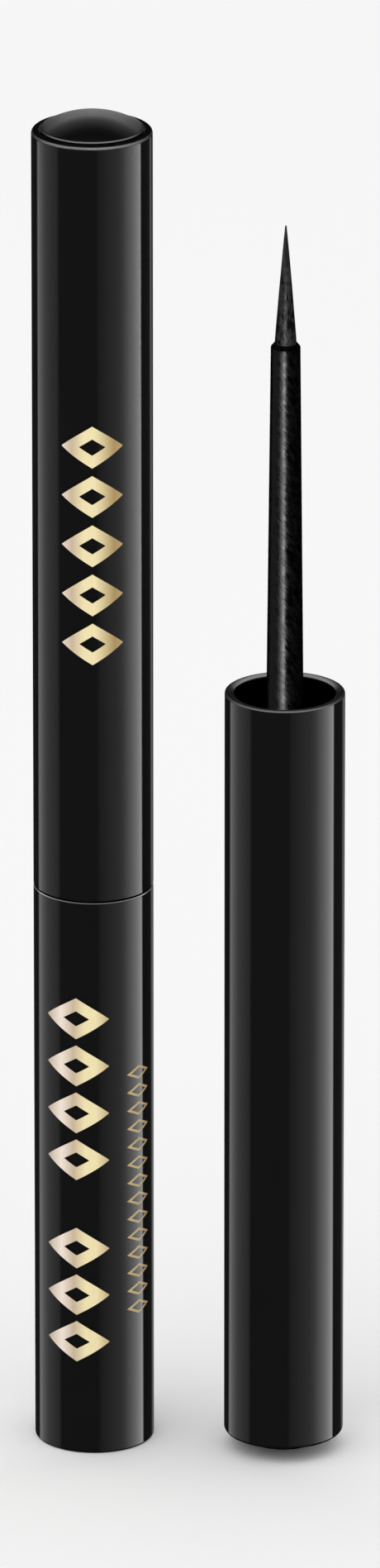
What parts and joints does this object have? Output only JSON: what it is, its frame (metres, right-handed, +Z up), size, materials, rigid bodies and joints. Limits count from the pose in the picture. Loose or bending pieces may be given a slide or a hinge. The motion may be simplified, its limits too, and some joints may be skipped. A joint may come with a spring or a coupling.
{
  "type": "liquid eyeliner bottle",
  "caption": "Slim round liquid eyeliner with a screw cap that carries a stem and a pointed brush, closed, with the same cap and applicator standing brush up beside it.",
  "frame": {"origin": "centre of the bottle's base, on the surface that it stands on", "axes": "+Z up the tubes, +X from the closed eyeliner towards the cap that stands beside it, -Y towards the viewer"},
  "size_m": [0.0285, 0.0138, 0.1283],
  "materials": {
    "gloss_black": "high gloss black moulded plastic",
    "satin_black": "satin black moulded plastic",
    "stem_black": "satin black plastic with a fine grain",
    "bristle_black": "fine black synthetic bristles",
    "natural_plastic": "natural milky plastic",
    "wiper_rubber": "soft natural elastomer",
    "gasket_foam": "closed-cell white foam"
  },
  "bodies": {
    "bottle": {"bottle_shell": "gloss_black", "base_plug": "gloss_black", "reservoir": "natural_plastic", "wiper": "wiper_rubber"},
    "cap_seal": {"cap_gasket": "gasket_foam"},
    "cap": {"cap_shell": "gloss_black", "cap_end_plug": "gloss_black", "cap_insert": "satin_black", "stem": "stem_black", "brush": "bristle_black"},
    "open_applicator": {"open_cap_shell": "gloss_black", "open_end_plug": "gloss_black", "open_cap_insert": "satin_black", "open_gasket": "gasket_foam", "open_stem": "stem_black", "open_brush": "bristle_black"}
  },
  "joints": [
    {"name": "cap_pull", "type": "slide", "parent": "bottle", "child": "cap_seal", "axis": [0, 0, 1], "range_m": [0, 0.062]},
    {"name": "cap_turn", "type": "hinge", "parent": "cap_seal", "child": "cap", "pos_m": [0, 0, 0.062], "axis": [0, 0, 1], "range_deg": [0, 540]},
    {"name": "open_applicator_lift", "type": "slide", "parent": "bottle", "child": "open_applicator", "axis": [0, 0, 1], "range_m": [0, 0.06]}
  ]
}
